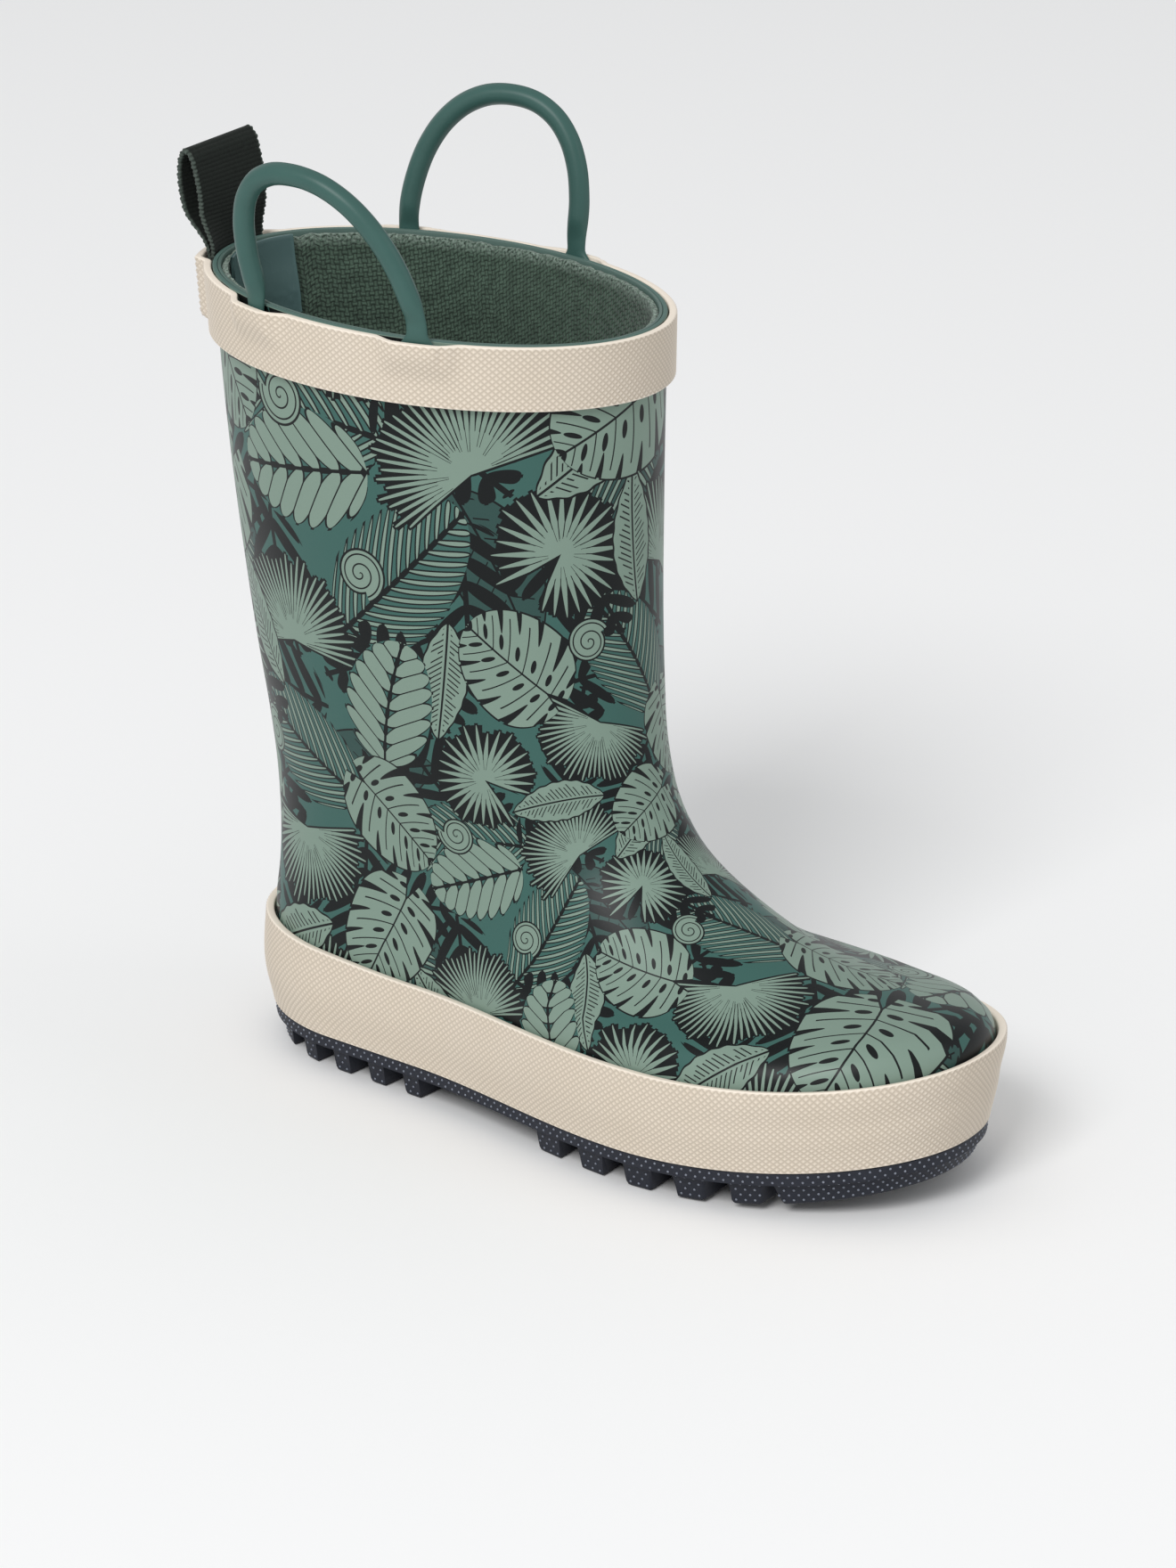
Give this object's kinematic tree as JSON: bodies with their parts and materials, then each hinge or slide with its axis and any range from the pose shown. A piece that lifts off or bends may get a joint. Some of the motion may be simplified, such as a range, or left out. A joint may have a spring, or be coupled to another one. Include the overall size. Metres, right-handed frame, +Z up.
{
  "type": "rubber rain boot",
  "caption": "Child's pull-on rubber rain boot for the right foot, with a printed leg, textured bands, a treaded sole, two side handles and a back pull loop.",
  "frame": {"origin": "on the floor, on the tread's spine under the middle of the heel", "axes": "+Z up, toe towards -Y, +X towards the inner side of the foot"},
  "size_m": [0.0941, 0.1964, 0.2107],
  "materials": {
    "printed_rubber": "satin printed rubber, green leaf print",
    "textured_rubber": "matte, small raised lozenges",
    "tread_rubber": "matte navy with small raised pips",
    "green_rubber": "smooth satin moulded rubber",
    "lining_canvas": "plain-woven cotton canvas",
    "loop_webbing": "ribbed grosgrain webbing",
    "stiffener_canvas": "rubberised stiffening canvas",
    "insole_board": "pressed fibre board",
    "footbed_foam": "soft sponge",
    "sole_filler": "sponge rubber"
  },
  "bodies": {
    "boot": {"upper_foot": "printed_rubber", "upper_leg": "printed_rubber", "canvas_lining": "lining_canvas", "rim_strip": "green_rubber", "heel_counter": "stiffener_canvas", "toe_puff": "stiffener_canvas", "back_seam_tape": "stiffener_canvas", "back_patch": "green_rubber", "foxing_strip": "textured_rubber", "outsole": "tread_rubber", "heel_filler": "sole_filler", "forefoot_filler": "sole_filler", "insole_board": "insole_board", "footbed_foam": "footbed_foam", "footbed_cover": "lining_canvas", "handle_outer_end_1": "green_rubber", "handle_outer_end_2": "green_rubber", "handle_inner_end_1": "green_rubber", "handle_inner_end_2": "green_rubber", "pull_loop_ends": "loop_webbing", "top_band": "textured_rubber"},
    "outer_handle": {"handle_outer": "green_rubber"},
    "inner_handle": {"handle_inner": "green_rubber"},
    "loop": {"pull_loop": "loop_webbing"}
  },
  "joints": [
    {"name": "outer_handle_flex", "type": "hinge", "parent": "boot", "child": "outer_handle", "pos_m": [-0.03799, -0.02033, 0.17789], "axis": [0.1637, -0.9843, -0.0662], "range_deg": [-60, 80], "stiffness_Nm_per_rad": 0.02},
    {"name": "inner_handle_flex", "type": "hinge", "parent": "boot", "child": "inner_handle", "pos_m": [0.0353, 0.0007, 0.17824], "axis": [-0.336, 0.9394, 0.0675], "range_deg": [-60, 80], "stiffness_Nm_per_rad": 0.02},
    {"name": "pull_loop_flex", "type": "hinge", "parent": "boot", "child": "loop", "pos_m": [-0.0108, 0.03581, 0.17963], "axis": [-1, 0, 0], "range_deg": [-60, 55], "stiffness_Nm_per_rad": 0.01}
  ]
}
